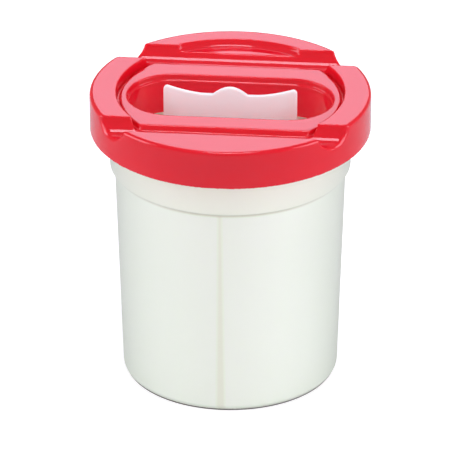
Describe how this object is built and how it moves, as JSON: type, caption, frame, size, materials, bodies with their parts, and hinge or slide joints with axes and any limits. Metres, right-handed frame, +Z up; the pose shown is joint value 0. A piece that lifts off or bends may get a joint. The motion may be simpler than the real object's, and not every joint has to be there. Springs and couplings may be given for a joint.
{
  "type": "brush-washing pot",
  "caption": "Tapered translucent cup with an inner partition, a push-on lid with brush channels and a spill-guard well, and a scalloped brush rest in the lid's opening.",
  "frame": {"origin": "on the pot's axis, on the surface that it stands on", "axes": "+Z up the pot's axis, +X along the lid's opening and brush channels, +Y from the front to the back with the arched pocket"},
  "size_m": [0.09, 0.09, 0.0989],
  "materials": {
    "cup": "translucent natural polypropylene, satin",
    "lid": "glossy red moulded plastic",
    "brush_rest": "white moulded plastic, satin"
  },
  "bodies": {
    "cup": {"cup": "cup"},
    "lid": {"lid": "lid"},
    "brush_rest": {"brush_rest": "brush_rest"}
  },
  "joints": [
    {"name": "lid_lift", "type": "slide", "parent": "cup", "child": "lid", "axis": [0, 0, 1], "range_m": [0, 0.03]},
    {"name": "brush_rest_lift", "type": "slide", "parent": "cup", "child": "brush_rest", "axis": [0, 0, 1], "range_m": [0, 0.045]}
  ]
}
